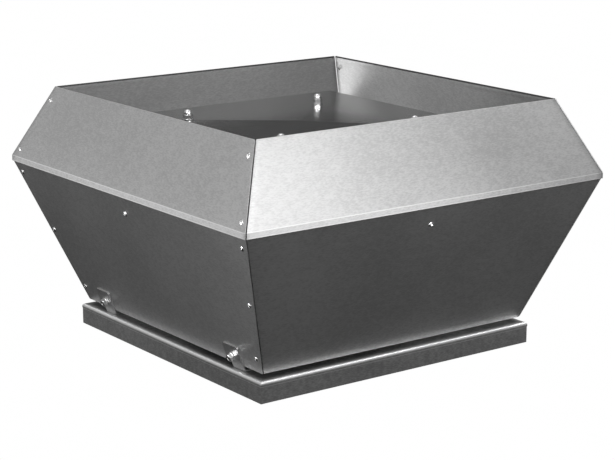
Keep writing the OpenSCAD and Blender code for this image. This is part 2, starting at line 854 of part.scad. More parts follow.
module shaft_seal() {
    color("black") ring(big_bearing[1] + 0.9, shaft_end_r + 0.08, motor_plate_z + gap, room_floor);
}

// Rotor ------------------------------------------------------------------------------------------

module motor_shaft() {
    color("lightgray") {
        translate([0, 0, shaft_low]) cylinder(r = shaft_end_r, h = 192 - shaft_low);
        translate([0, 0, 190]) cylinder(r = big_bearing[0], h = 22);
        translate([0, 0, 210]) cylinder(r = 12, h = 112);
        translate([0, 0, 320]) cylinder(r = small_bearing[0], h = 50);
    }
}

module rotor_core() {
    color("gray") ring(rotor_r, 12 + bore_gap, core_low, core_high);
}

// Inner rings with their balls
module bearing_inner_rings() {
    color("lightgray") for (b = [big_bearing, small_bearing]) {
        ball_r = (b[1] - b[0] - 7) / 2 - 0.15;
        ring(b[0] + 3.5, b[0] + bore_gap, b[3], b[3] + b[2]);
        for (i = [0:7]) rotate([0, 0, 45 * i])
            translate([(b[0] + b[1]) / 2, 0, b[3] + b[2] / 2]) sphere(r = ball_r);
    }
}

module cooling_fan() {
    low = 346;
    high = 366;
    color("black") difference() {
        union() {
            translate([0, 0, low]) cylinder(r = 16, h = high - low);
            translate([0, 0, low]) cylinder(r = 60, h = 2);
            for (i = [0:7]) rotate([0, 0, 45 * i]) translate([14, -1, low]) cube([46, 2, high - low]);
        }
        translate([0, 0, low - cut]) cylinder(r = small_bearing[0] + bore_gap, h = high - low + 2 * cut);
    }
}

module impeller_hub() {
    low = shaft_low + 1;
    high = wheel_top - wheel_sheet - gap;
    color("silver") difference() {
        union() {
            translate([0, 0, low]) cylinder(r = 20, h = high - low);
            translate([0, 0, high - 5]) cylinder(r = hub_r, h = 5);
            translate([0, 0, high - 1]) cylinder(r = 18, h = 12);
        }
        translate([0, 0, low - cut]) cylinder(r = shaft_end_r + bore_gap, h = 60);
    }
}

module impeller_backplate() {
    color("silver") ring(wheel_r, 18 + bore_gap, wheel_top - wheel_sheet, wheel_top);
}

// Space between shroud and back plate that the blades fill
module blade_space() {
    high = wheel_top - wheel_sheet - gap;
    rotate_extrude($fn = 96) polygon([[blade_root_r, high], [wheel_r - 1, high],
        [wheel_r - 1, outlet_z + sheet + gap], [152, 96.6], [143, 91.6], [blade_root_r, 100]]);
}

module impeller_blades() {
    color("silver") intersection() {
        for (i = [0:blade_count - 1]) rotate([0, 0, 360 / blade_count * i])
            translate([0, 0, eye_z]) linear_extrude(wheel_top - eye_z) intersection() {
                translate([blade_arc_x, 0]) difference() {
                    circle(r = blade_arc_r + 1, $fn = 96);
                    circle(r = blade_arc_r - 1, $fn = 96);
                }
                translate([-wheel_r, 0]) square([wheel_r * 2, wheel_r]);
                translate([-wheel_r, 20]) square([wheel_r + 20, wheel_r]);
            }
        blade_space();
    }
}

// Ring with a rounded eye that leads the air between the blades
module impeller_shroud() {
    color("silver") rotate_extrude($fn = 96) polygon([[eye_r, eye_z], [eye_r + sheet, eye_z],
        [eye_r + 3, 89], [eye_r + 12, 94.5], [wheel_r, outlet_z], [wheel_r, outlet_z + sheet],
        [eye_r + 12, 96.2], [eye_r + 2, 90.6], [eye_r, 86]]);
}

base_plate();
skirt_frame();
curb_gasket();
inlet_cone();
cone_screws();
rivet_nuts();
hinge_base_leaves();
hinge_base_screws();
hinge_pins();
lower_panel(front);  // lower_panel_front
lower_panel(right);  // lower_panel_right
lower_panel(back);  // lower_panel_back
lower_panel(left);  // lower_panel_left
upper_panel(front);  // upper_panel_front
upper_panel(right);  // upper_panel_right
upper_panel(back);  // upper_panel_back
upper_panel(left);  // upper_panel_left
lower_corner_rivets();
upper_corner_rivets();
support_stays();
stay_screws();
stay_bolts();
lock_brackets();
lock_bolts();
lock_nuts();
lock_foot_screws();
hinge_head_leaves();
hinge_head_screws();
cable_conduit();
cable_gland();
motor_plate();
room_wall(front);  // room_wall_front
room_wall(right);  // room_wall_right
room_wall(back);  // room_wall_back
room_wall(left);  // room_wall_left
lid();
lid_seal();
lid_studs();
lid_stud_nuts();
lid_washers();
cap_nuts();
motor_flange();
motor_bolts();
motor_housing();
stator_core();
stator_windings();
end_shield();
fan_cowl();
terminal_box();
terminal_box_lid();
bearing_outer_rings();
shaft_seal();
motor_shaft();
rotor_core();
bearing_inner_rings();
cooling_fan();
impeller_hub();
impeller_backplate();
impeller_blades();
impeller_shroud();
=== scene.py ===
"""Looks of the square roof exhaust fan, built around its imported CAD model."""

import json
import math

import bmesh
import bpy
from mathutils import Matrix, Vector

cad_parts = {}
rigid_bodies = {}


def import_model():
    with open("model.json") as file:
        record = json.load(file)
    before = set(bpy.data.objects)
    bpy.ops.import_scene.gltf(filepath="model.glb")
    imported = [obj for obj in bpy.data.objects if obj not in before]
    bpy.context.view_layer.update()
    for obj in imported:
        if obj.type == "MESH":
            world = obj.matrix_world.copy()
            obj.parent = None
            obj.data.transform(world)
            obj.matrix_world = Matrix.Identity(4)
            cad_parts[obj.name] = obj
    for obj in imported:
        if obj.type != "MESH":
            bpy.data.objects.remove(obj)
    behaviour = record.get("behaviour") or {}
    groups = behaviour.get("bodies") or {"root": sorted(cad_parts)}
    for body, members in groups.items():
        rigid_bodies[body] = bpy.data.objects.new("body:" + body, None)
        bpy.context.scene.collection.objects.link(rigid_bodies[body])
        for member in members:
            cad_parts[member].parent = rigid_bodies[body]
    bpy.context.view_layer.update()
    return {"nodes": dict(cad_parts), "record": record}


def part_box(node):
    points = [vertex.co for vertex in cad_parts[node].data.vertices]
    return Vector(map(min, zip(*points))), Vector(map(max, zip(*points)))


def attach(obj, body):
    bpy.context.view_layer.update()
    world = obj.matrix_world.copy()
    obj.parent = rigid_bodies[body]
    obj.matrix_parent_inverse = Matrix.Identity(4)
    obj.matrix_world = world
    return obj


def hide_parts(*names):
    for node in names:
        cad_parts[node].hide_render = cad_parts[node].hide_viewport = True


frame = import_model()
nodes = frame["nodes"]
MM = 0.001
FRONT, RIGHT, BACK, LEFT = range(4)  # quarter turns of a face from the front, at -Y
SIDES = ("front", "right", "back", "left")

# Sizes, from the CAD boxes where they can be read off
BASE_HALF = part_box("base_plate")[1].x
BASE_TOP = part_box("base_plate")[1].z
HOUSING_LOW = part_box("lower_panel_front")[0].z
WAIST_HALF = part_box("upper_panel_left")[1].y - 0.02 * MM
BAND_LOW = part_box("upper_panel_left")[0].z
BAND_HIGH = BAND_LOW + 10.5 * MM
RIM_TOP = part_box("upper_panel_left")[1].z
SHEET = 1.5 * MM
LIP_HALF = WAIST_HALF - SHEET - 0.3 * MM
LOWER_HALF = 286.65 * MM
RIM_HALF = 324.9 * MM
COLUMNS = (-1, -0.965, -0.5, 0, 0.5, 0.965, 1)  # of a panel's skin, as shares of its half width
SIDE_GAP = 0.3 * MM  # from a left or right panel's end to the corner's diagonal
FRONT_GAP = 3.4 * MM  # the same for a front or back panel
RIVET_INSET = 13.5 * MM
LOWER_RIVET_Z = (75 * MM, 183 * MM, 292 * MM)
UPPER_RIVET_Z = (336 * MM, 429.5 * MM)
STAY_SCREW_Z = 279 * MM
LOCK_BOLT_Y = (-208.5 * MM, 212 * MM)
LOCK_BOLT_UP = 16 * MM
HINGE_SCREW_Y = [y + step for y in (-200 * MM, 200 * MM) for step in (-14 * MM, 14 * MM)]
STUD_OFFSET = 148 * MM
LOWER_LEAN = math.atan2(LIP_HALF - LOWER_HALF, BAND_LOW - HOUSING_LOW)
UPPER_LEAN = math.atan2(WAIST_HALF - RIM_HALF, RIM_TOP - BAND_HIGH)


# Camera -----------------------------------------------------------------------------------------

def make_camera():
    """The photograph's viewpoint: 36 degrees round from the front towards the lock side."""
    azimuth, elevation, roll = map(math.radians, (-36.165, 13.647, -0.0625))
    back = Vector((math.sin(azimuth) * math.cos(elevation), -math.cos(azimuth) * math.cos(elevation),
                   math.sin(elevation)))
    across = Vector((math.cos(azimuth), math.sin(azimuth), 0))
    up = back.cross(across)
    turn = Matrix.Rotation(roll, 3, "Z")
    data = bpy.data.cameras.new("camera")
    data.lens = 109.59
    data.sensor_width = 36
    data.clip_end = 50
    camera = bpy.data.objects.new("camera", data)
    bpy.context.scene.collection.objects.link(camera)
    axes = Matrix((across, up, back)).transposed() @ turn
    camera.matrix_world = Matrix.Translation((-1.97321, -2.72099, 1.01272)) @ axes.to_4x4()
    bpy.context.scene.camera = camera


# Node materials ---------------------------------------------------------------------------------

class Nodes:
    """Short way to write a material's nodes."""

    def __init__(self, name):
        self.material = bpy.data.materials.new(name)
        self.material.use_nodes = True
        self.tree = self.material.node_tree
        self.shader = self.tree.nodes["Principled BSDF"]
        self.place = self.add("ShaderNodeTexCoord").outputs["Object"]

    def add(self, kind, inputs=(), **settings):
        node = self.tree.nodes.new(kind)
        for key, value in settings.items():
            setattr(node, key, value)
        for key, value in dict(inputs).items():
            self.feed(node.inputs[key], value)
        return node

    def feed(self, socket, value):
        if isinstance(value, bpy.types.NodeSocket):
            self.tree.links.new(value, socket)
        else:
            socket.default_value = value

    def scaled(self, scale, source=None):
        mapping = self.add("ShaderNodeMapping", {"Vector": source or self.place, "Scale": scale})
        return mapping.outputs["Vector"]

    def noise(self, scale, detail=3.0, rough=0.5, stretch=(1, 1, 1), source=None):
        place = self.scaled(stretch, source)
        node = self.add("ShaderNodeTexNoise", {"Vector": place, "Scale": scale, "Detail": detail,
                                               "Roughness": rough})
        return node.outputs["Fac"]

    def spread(self, value, low, high, from_low=0.3, from_high=0.7):
        node = self.add("ShaderNodeMapRange", {"Value": value, "From Min": from_low, "From Max": from_high,
                                               "To Min": low, "To Max": high})
        return node.outputs["Result"]

    def math(self, kind, a, b=0.0):
        return self.add("ShaderNodeMath", {0: a, 1: b}, operation=kind).outputs[0]

    def tint(self, value, dark, light):
        ramp = self.add("ShaderNodeValToRGB", {"Fac": value})
        ramp.color_ramp.elements[0].color = (*dark, 1)
        ramp.color_ramp.elements[1].color = (*light, 1)
        return ramp.outputs["Color"]

    def mix(self, share, a, b):
        node = self.add("ShaderNodeMix", data_type="RGBA")
        self.feed(node.inputs["Factor"], share)
        self.feed(node.inputs["A"], a)
        self.feed(node.inputs["B"], b)
        return node.outputs["Result"]

    def bump(self, height, distance, strength=1.0, under=None):
        inputs = {"Height": height, "Distance": distance, "Strength": strength}
        if under:
            inputs["Normal"] = under
        return self.add("ShaderNodeBump", inputs).outputs["Normal"]

    def edge_wear(self, radius):
        """1 on sharp outer edges, 0 elsewhere."""
        bevel = self.add("ShaderNodeBevel", {"Radius": radius}, samples=4)
        normal = self.add("ShaderNodeNewGeometry").outputs["Normal"]
        dot = self.add("ShaderNodeVectorMath", {0: bevel.outputs["Normal"], 1: normal},
                       operation="DOT_PRODUCT")
        return self.spread(dot.outputs["Value"], 1, 0, 0.7, 0.98)

    def finish(self, color, roughness, metallic=1.0, normal=None, **sockets):
        self.feed(self.shader.inputs["Base Color"], color)
        self.feed(self.shader.inputs["Roughness"], roughness)
        self.feed(self.shader.inputs["Metallic"], metallic)
        if normal:
            self.feed(self.shader.inputs["Normal"], normal)
        for key, value in sockets.items():
            self.shader.inputs[key.replace("_", " ")].default_value = value
        return self.material


def grey(value):
    return (value, value, value)


def sheet_metal(name, dark, light, rough_low, rough_high, grain=(0.25, 0.25, 1), bends=True,
                metallic=0.82, marks=None):
    """Galvanised sheet: fine drawn grain, small mottling and faint smudges.

    With bends, the mesh's bend attribute paints a highlight where it is above 0 and paints shade where it is
    below.
    """
    n = Nodes(name)
    mottle = n.noise(110, 3, 0.6, [0.6 + 0.4 * g for g in grain])
    streak = n.noise(620, 2, 0.5, grain)
    cloud = n.noise(5, 2, 0.5)
    blend = n.math("ADD", n.math("MULTIPLY", mottle, 0.30), n.math("MULTIPLY", streak, 0.50))
    blend = n.math("ADD", blend, n.math("MULTIPLY", cloud, 0.20))
    color = n.tint(n.spread(blend, 0, 1, 0.42, 0.58), grey(dark), grey(light))
    rough = n.spread(n.math("ADD", n.math("MULTIPLY", cloud, 0.5), n.math("MULTIPLY", streak, 0.5)),
                     rough_low, rough_high)
    if bends:
        mark = n.add("ShaderNodeAttribute", attribute_name="bend").outputs["Fac"]
        # painted highlight along the bends, where the bend mark is above 0
        painted_bend_highlight = n.math("MULTIPLY", n.math("MAXIMUM", mark, 0.0), 0.95)
        color = n.mix(painted_bend_highlight, color, (*grey(min(1, light * 1.6)), 1))
        # painted shade where the bend mark is below 0, along the hem's top and inner leg
        painted_hem_shade = n.math("MULTIPLY", n.math("MAXIMUM", n.math("MULTIPLY", mark, -1.0), 0.0), 0.9)
        color = n.mix(painted_hem_shade, color, (*grey(0.03), 1))
    if marks:
        color = marks(n, color)
    normal = n.bump(n.math("ADD", mottle, streak), 0.00005, 0.6)
    normal = n.bump(cloud, 0.0006, 0.5, normal)
    return n.finish(color, rough, metallic, normal)


def base_painted_highlights(n, color):
    """Painted highlight on the base's outer bend, and a fine painted highlight line below it."""
    parts = n.add("ShaderNodeSeparateXYZ", {"Vector": n.place}).outputs
    out = n.math("MAXIMUM", n.math("ABSOLUTE", parts["X"]), n.math("ABSOLUTE", parts["Y"]))
    # painted highlight over the outer bend, near the base's edge
    rise = n.spread(parts["Z"], 0, 1, BASE_TOP - 6.5 * MM, BASE_TOP - 3.5 * MM)
    edge = n.spread(out, 0, 1, BASE_HALF - 14 * MM, BASE_HALF - 4 * MM)
    color = n.mix(n.math("MULTIPLY", n.math("MULTIPLY", rise, edge), 0.95), color, (0.98, 0.98, 0.98, 1))
    # a fine painted highlight line 9.2 mm below the top
    off = n.math("ABSOLUTE", n.math("SUBTRACT", parts["Z"], BASE_TOP - 9.2 * MM))
    line = n.spread(off, 0.40, 0, 0.3 * MM, 0.9 * MM)
    return n.mix(line, color, (0.98, 0.98, 0.98, 1))


def plain_metal(name, tone, rough, scratch=600, warm=(1, 1, 1)):
    n = Nodes(name)
    fine = n.noise(scratch, 3, 0.6, (1, 0.2, 1))
    cloud = n.noise(40, 3, 0.5)
    share = n.spread(n.math("ADD", n.math("MULTIPLY", fine, 0.5), n.math("MULTIPLY", cloud, 0.5)), 0, 1)
    dark = [0.82 * tone * w for w in warm]
    light = [min(1, 1.1 * tone * w) for w in warm]
    color = n.tint(share, dark, light)
    return n.finish(color, n.spread(cloud, rough * 0.8, rough * 1.25), 1.0, n.bump(fine, 0.00003, 0.5))


def dull(name, color, rough, grain=300, depth=0.0001, wear=0.0):
    """Plastic, rubber, foam or paint with a fine skin texture."""
    n = Nodes(name)
    fine = n.noise(grain, 4, 0.6)
    cloud = n.noise(12, 3, 0.5)
    tone = n.tint(n.spread(cloud, 0, 1), [c * 0.8 for c in color], [min(1, c * 1.25) for c in color])
    if wear:
        tone = n.mix(n.math("MULTIPLY", n.edge_wear(0.0012), wear), tone, (0.35, 0.36, 0.37, 1))
    return n.finish(tone, n.spread(cloud, rough * 0.85, rough * 1.15), 0.0, n.bump(fine, depth, 0.6))


def wound_copper(name):
    n = Nodes(name)
    turns = n.add("ShaderNodeTexWave", {"Vector": n.place, "Scale": 260, "Distortion": 2.0},
                  wave_type="BANDS", bands_direction="Z").outputs["Fac"]
    color = n.tint(turns, (0.22, 0.09, 0.04), (0.75, 0.36, 0.18))
    return n.finish(color, 0.32, 0.9, n.bump(turns, 0.0004, 0.8))


HOUSING = sheet_metal("housing_sheet", 0.67, 0.81, 0.34, 0.44)
LID_METAL = sheet_metal("lid_sheet", 0.48, 0.60, 0.15, 0.22, (1, 0.12, 1), False, 0.9)
BASE_METAL = sheet_metal("galvanised_base", 0.30, 0.46, 0.32, 0.46, bends=False, marks=base_painted_highlights)
INNER_METAL = sheet_metal("galvanised_inner", 0.46, 0.62, 0.34, 0.46, bends=False)
IMPELLER_METAL = sheet_metal("impeller_steel", 0.50, 0.66, 0.30, 0.42, bends=False)
HINGE_METAL = sheet_metal("hinge_steel", 0.52, 0.68, 0.34, 0.44, (1, 1, 1), False, 0.75)
ZINC = plain_metal("zinc_fastener", 0.68, 0.32)
BRIGHT = plain_metal("bright_fastener", 0.95, 0.22)
BRASS = plain_metal("brass_nut", 0.85, 0.3, warm=(0.9, 0.74, 0.42))
GROUND = plain_metal("bearing_steel", 0.72, 0.2)
CORE = plain_metal("core_steel", 0.3, 0.5)
COPPER = wound_copper("copper")
FOAM = dull("foam_seal", (0.035, 0.035, 0.036), 0.95, 900, 0.0003)
PLASTIC = dull("black_plastic", (0.035, 0.035, 0.038), 0.5, 1200, 0.00005)
PAINT = dull("motor_paint", (0.16, 0.20, 0.23), 0.42, 500, 0.0001, wear=0.7)
SLOT_MATERIALS = {
    "housing_sheet": HOUSING, "lid_sheet": LID_METAL, "galvanised_base": BASE_METAL,
    "galvanised_inner": INNER_METAL, "impeller_steel": IMPELLER_METAL, "hinge_steel": HINGE_METAL,
    "zinc_fastener": ZINC, "bright_fastener": BRIGHT, "brass_nut": BRASS, "bearing_steel": GROUND,
    "core_steel": CORE, "copper": COPPER, "foam_seal": FOAM, "black_plastic": PLASTIC, "motor_paint": PAINT,
}


# Mesh helpers -----------------------------------------------------------------------------------

def new_piece(name, mesh, material, body, smooth=math.radians(35)):
    """Links a mesh as a piece of the object that rides on a body."""
    mesh.materials.append(material)
    piece = bpy.data.objects.new(name, mesh)
    bpy.context.scene.collection.objects.link(piece)
    for polygon in mesh.polygons:
        polygon.use_smooth = True
    mesh.set_sharp_from_angle(angle=smooth)
    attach(piece, body)
    return piece


def rounded(points, radii, steps=5):
    """A polyline whose inner corners are replaced with arcs, as (point, bend mark) pairs; a bend mark of 1
    inside an arc paints a highlight on the housing's sheet.
    """
    line = [(Vector(points[0]), 0.0)]
    for before, corner, after, radius in zip(points, points[1:], points[2:], radii):
        corner, into, out = Vector(corner), Vector(corner) - Vector(before), Vector(after) - Vector(corner)
        into.normalize()
        out.normalize()
        turn = into.angle(out)
        if radius <= 0 or turn < 1e-4:
            line.append((corner, 0.0))
            continue
        reach = radius * math.tan(turn / 2)
        sign = 1 if into.cross(out) > 0 else -1
        start = corner - into * reach
        centre = start + Vector((-into.y, into.x)) * radius * sign
        for step in range(steps + 1):
            angle = sign * turn * step / steps
            arm = start - centre
            turned = Vector((arm.x * math.cos(angle) - arm.y * math.sin(angle),
                             arm.x * math.sin(angle) + arm.y * math.cos(angle)))
            line.append((centre + turned, 1.0 if 0 < step < steps else 0.0))
    line.append((Vector(points[-1]), 0.0))
    return line


def side_turn(side):
    return Matrix.Rotation(math.radians(90 * side), 4, "Z")


def solid_sheet(piece, thickness):
    """Gives a skin its thickness, inwards from the side that shows."""
    modifier = piece.modifiers.new("thickness", "SOLIDIFY")
    modifier.thickness = thickness
    modifier.offset = -1
    modifier.use_even_offset = True
    modifier.use_quality_normals = True
    bevel = piece.modifiers.new("edges", "BEVEL")
    bevel.width = thickness * 0.22
    bevel.segments = 2
    bevel.limit_method = "ANGLE"
    bevel.angle_limit = math.radians(50)


def face_skin(profile, gap):
    """One side's sheet as a skin, facing -Y. Each profile point is (distance out, height).

    The skin ends at the corner's diagonal less the gap.
    """
    bm = bmesh.new()
    bends = bm.verts.layers.float.new("bend")
    grid = []
    for (out, height), mark in profile:
        row = []
        for share in COLUMNS:
            vertex = bm.verts.new((share * (out - gap), -out, height))
            vertex[bends] = mark
            row.append(vertex)
        grid.append(row)
    for low, high in zip(grid, grid[1:]):
        for a, b, c, d in zip(low, low[1:], high[1:], high):
            bm.faces.new((a, b, c, d))
    return bm


def finish_skin(name, bm, side, node):
    bmesh.ops.recalc_face_normals(bm, faces=bm.faces)
    middle = min(bm.faces, key=lambda face: face.calc_center_median().y)
    if middle.normal.y > 0:
        bmesh.ops.reverse_faces(bm, faces=bm.faces)
    bm.transform(side_turn(side))
    mesh = bpy.data.meshes.new(name)
    bm.to_mesh(mesh)
    bm.free()
    piece = new_piece(name, mesh, HOUSING, "fan_head")
    solid_sheet(piece, SHEET)
    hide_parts(node)
    return piece


def make_housing():
    """Eight bent panels: lower ones lean out, upper ones lean in above a short waist band."""
    lower_line = rounded(
        [(LOWER_HALF - 14 * MM, HOUSING_LOW), (LOWER_HALF, HOUSING_LOW), (LIP_HALF, BAND_LOW),
         (LIP_HALF, BAND_LOW + 7 * MM)], [3.5 * MM, 2 * MM])
    hem = 1.65 * MM
    slope = Vector((-math.sin(UPPER_LEAN), math.cos(UPPER_LEAN)))
    inward = Vector((-math.cos(UPPER_LEAN), -math.sin(UPPER_LEAN)))
    rim = Vector((RIM_HALF, RIM_TOP))
    crest = rim + inward * 2 * hem
    upper_line = rounded(
        [(WAIST_HALF, BAND_LOW), (WAIST_HALF, BAND_LOW + 1.3 * MM), (WAIST_HALF, BAND_LOW + 2 * MM),
         (WAIST_HALF, BAND_HIGH), tuple(rim), tuple(crest), tuple(crest - slope * 3 * MM),
         tuple(crest - slope * 12 * MM)],
        [0, 0, 4 * MM, hem * 0.98, hem * 0.98, 0])
    # painted highlight on the band's lower edge as on a bend, painted highlight on the hem's outside, and
    # painted shade along its top and inner leg
    hem_marks = (0.0, 1.0, 0.4, -0.5) + (-1.0,) * 7 + (-0.8,)
    hem_start = len(upper_line) - 2 - len(hem_marks)
    for index, mark in [(0, 1.0), (1, 1.0), *enumerate(hem_marks, hem_start)]:
        upper_line[index] = (upper_line[index][0], mark)
    for side, word in enumerate(SIDES):
        gap = FRONT_GAP if side in (FRONT, BACK) else SIDE_GAP
        finish_skin(f"folded_lower_{word}", face_skin(lower_line, gap), side, f"lower_panel_{word}")
        finish_skin(f"folded_upper_{word}", face_skin(upper_line, gap), side, f"upper_panel_{word}")


# Fasteners ---------------------------------------------------------------------------------------

def on_lower(side, along, up, out=0.0):
    """A place on a lower face: along it, up its slope and out from its sheet."""
    foot = Matrix.Translation((0, -LOWER_HALF, HOUSING_LOW))
    lean = Matrix.Rotation(math.pi / 2 + LOWER_LEAN, 4, "X")
    return side_turn(side) @ foot @ lean @ Matrix.Translation((along, up, out))


def on_upper(side, along, up, out=0.0):
    foot = Matrix.Translation((0, -WAIST_HALF, BAND_HIGH))
    lean = Matrix.Rotation(math.pi / 2 - UPPER_LEAN, 4, "X")
    return side_turn(side) @ foot @ lean @ Matrix.Translation((along, up, out))


def turn_out(bm, place, profile, segments=36):
    """Adds a turned body. Profile rows are (radius, height) or (radius, height, flats) in millimetres.

    With flats, the row is cut to a hexagon of that width across flats.
    """
    rings = []
    for row in profile:
        radius, height = row[0], row[1]
        if radius == 0:
            rings.append([bm.verts.new(place @ Vector((0, 0, height * MM)))])
            continue
        ring = []
        for k in range(segments):
            angle = 2 * math.pi * k / segments
            reach = radius
            if len(row) > 2:
                reach = min(radius, row[2] / 2 / math.cos(angle % (math.pi / 3) - math.pi / 6))
            point = Vector((math.cos(angle) * reach * MM, math.sin(angle) * reach * MM, height * MM))
            ring.append(bm.verts.new(place @ point))
        rings.append(ring)
    for low, high in zip(rings, rings[1:]):
        for k in range(segments):
            after = (k + 1) % segments
            if len(low) == 1:
                bm.faces.new((low[0], high[after], high[k]))
            elif len(high) == 1:
                bm.faces.new((low[k], low[after], high[0]))
            else:
                bm.faces.new((low[k], low[after], high[after], high[k]))


def group(name, node, material, body, places, profiles, smooth=30, segments=36):
    """One piece with the same turned bodies at every place, in the stead of a CAD node."""
    bm = bmesh.new()
    for place in places:
        for profile in profiles:
            turn_out(bm, place, profile, segments)
    bmesh.ops.recalc_face_normals(bm, faces=bm.faces)
    mesh = bpy.data.meshes.new(name)
    bm.to_mesh(mesh)
    bm.free()
    piece = new_piece(name, mesh, material, body, math.radians(smooth))
    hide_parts(node)
    return piece


def hex_rows(flats, low, high, chamfer_low=True, steps=5):
    """Outer rows of a hexagon whose corners are turned off at 30 degrees."""
    corner = flats / math.sqrt(3)
    face = 0.95 * flats / 2
    drop = math.tan(math.radians(30))
    rows = []
    for k in range(steps + 1):
        radius = face + (corner - face) * k / steps
        rows.append((radius, (radius - face) * drop, flats))
    bottom = [(r, low + z, f) for r, z, f in rows] if chamfer_low else [(corner, low, flats)]
    return bottom + [(r, high - z, f) for r, z, f in reversed(rows)]


def dome_rows(radius, low, height, stop, steps):
    """Rows over a dome from its edge towards its top, through stop degrees of 90."""
    ball = (radius * radius + height * height) / (2 * height)
    edge = math.asin(min(1.0, radius / ball))
    rows = []
    for k in range(steps + 1):
        angle = edge * (1 - stop / 90 * k / steps)
        rows.append((ball * math.sin(angle), low + height - ball + ball * math.cos(angle)))
    return rows


def nut_rows(flats, bore, low, high):
    inside = [(bore, high - 0.6), (bore, low + 0.6), (bore + 0.6, low)]
    return inside + hex_rows(flats, low, high) + [(bore + 0.6, high), (bore, high - 0.6)]


def at_corners(offset, height):
    return [Matrix.Translation((x * offset, y * offset, height)) @ Matrix.Rotation(turn, 4, "Z")
            for x, y, turn in ((-1, -1, 0.40), (1, -1, 0.47), (-1, 1, 0.36), (1, 1, 0.44))]


def make_rivets():
    """Blind rivets: a flange, a dome with the mandrel's hole, a shank and the bulb behind."""
    grip = 3.2
    rivet = [(0, -grip - 3.0), (1.6, -grip - 3.0), (3.0, -grip - 2.5), (3.5, -grip - 1.4), (3.3, -grip - 0.5),
             (2.4, -grip), (2.4, 0.1), (4.4, 0.1), (4.7, 0.22), (4.7, 0.42), (4.5, 0.58), (4.1, 0.80),
             (3.5, 1.10), (2.9, 1.36), (2.3, 1.56), (1.75, 1.66), (1.45, 1.62), (1.30, 1.45), (1.25, 0.75),
             (0.85, 0.62), (0, 0.58)]
    lower, upper = [], []
    for side in (LEFT, RIGHT):
        for z in LOWER_RIVET_Z:
            along = LOWER_HALF + (z - HOUSING_LOW) * math.tan(LOWER_LEAN) - RIVET_INSET
            up = (z - HOUSING_LOW) / math.cos(LOWER_LEAN)
            lower += [on_lower(side, end * along, up) for end in (-1, 1)]
        for z in UPPER_RIVET_Z:
            along = WAIST_HALF - (z - BAND_HIGH) * math.tan(UPPER_LEAN) - RIVET_INSET
            up = (z - BAND_HIGH) / math.cos(UPPER_LEAN)
            upper += [on_upper(side, end * along, up) for end in (-1, 1)]
    group("rivets_lower", "lower_corner_rivets", BRIGHT, "fan_head", lower, [rivet])
    group("rivets_upper", "upper_corner_rivets", BRIGHT, "fan_head", upper, [rivet])


def socket_screw(radius, height, shank, length, flats):
    """Low round head with a hexagon socket over a plain shank."""
    side = flats / math.sqrt(3)
    head = [(0, -length), (shank - 0.5, -length), (shank, -length + 0.5), (shank, 0), (radius - 0.2, 0),
            (radius, 0.15)]
    head += dome_rows(radius, 0.3, height - 0.3, 62, 6)
    head += [(side + 0.25, height, flats + 0.4), (side, height - 0.2, flats), (side, height - 1.3, flats),
             (0, height - 1.6)]
    return head


def make_screws():
    up = (STAY_SCREW_Z - HOUSING_LOW) / math.cos(LOWER_LEAN)
    stay = [on_lower(side, 0, up, 0.1 * MM) for side in range(4)]
    inner_nut = nut_rows(10, 3.05, -9.8, -4.8)
    group("screws_stay", "stay_screws", BRIGHT, "fan_head", stay,
          [socket_screw(5, 2.4, 3, 11, 4), inner_nut])
    leaf = socket_screw(4.7, 2.2, 2.5, 9, 3)
    to_right = Matrix.Rotation(math.pi / 2, 4, "Y")
    low = [Matrix.Translation((BASE_HALF + 3.2 * MM, y, 16 * MM)) @ to_right for y in HINGE_SCREW_Y]
    group("screws_hinge_base", "hinge_base_screws", ZINC, "base", low, [leaf])
    high = [on_lower(RIGHT, y, 32 * MM, 3.2 * MM) for y in HINGE_SCREW_Y]
    group("screws_hinge_head", "hinge_head_screws", ZINC, "fan_head", high, [leaf])


def make_lock_bolts():
    bolt = [(0, -12), (3.5, -12), (4, -11.5), (4, 1.7), (6.0, 1.7)] + hex_rows(13, 1.7, 8.2, False)
    bolt += [(4.6, 8.2), (4.4, 7.9), (0, 7.85)]
    washer = [(4.05, 0.2), (4.05, 1.4), (4.25, 1.6), (7.7, 1.6), (8, 1.35), (8, 0.25), (7.7, 0), (4.25, 0),
              (4.05, 0.2)]
    places = [on_lower(LEFT, -y, LOCK_BOLT_UP, 2.7 * MM) @ Matrix.Rotation(turn, 4, "Z")
              for y, turn in zip(LOCK_BOLT_Y, (0.26, 0.7))]
    group("bolts_lock", "lock_bolts", BRIGHT, "fan_head", places, [bolt, washer], 25, 72)
    nuts = [on_lower(LEFT, -y, LOCK_BOLT_UP, -8.1 * MM) for y in LOCK_BOLT_Y]
    group("nuts_lock", "lock_nuts", ZINC, "fan_head", nuts,
          [nut_rows(13, 4.05, 0, 6.5)], 25, 72)


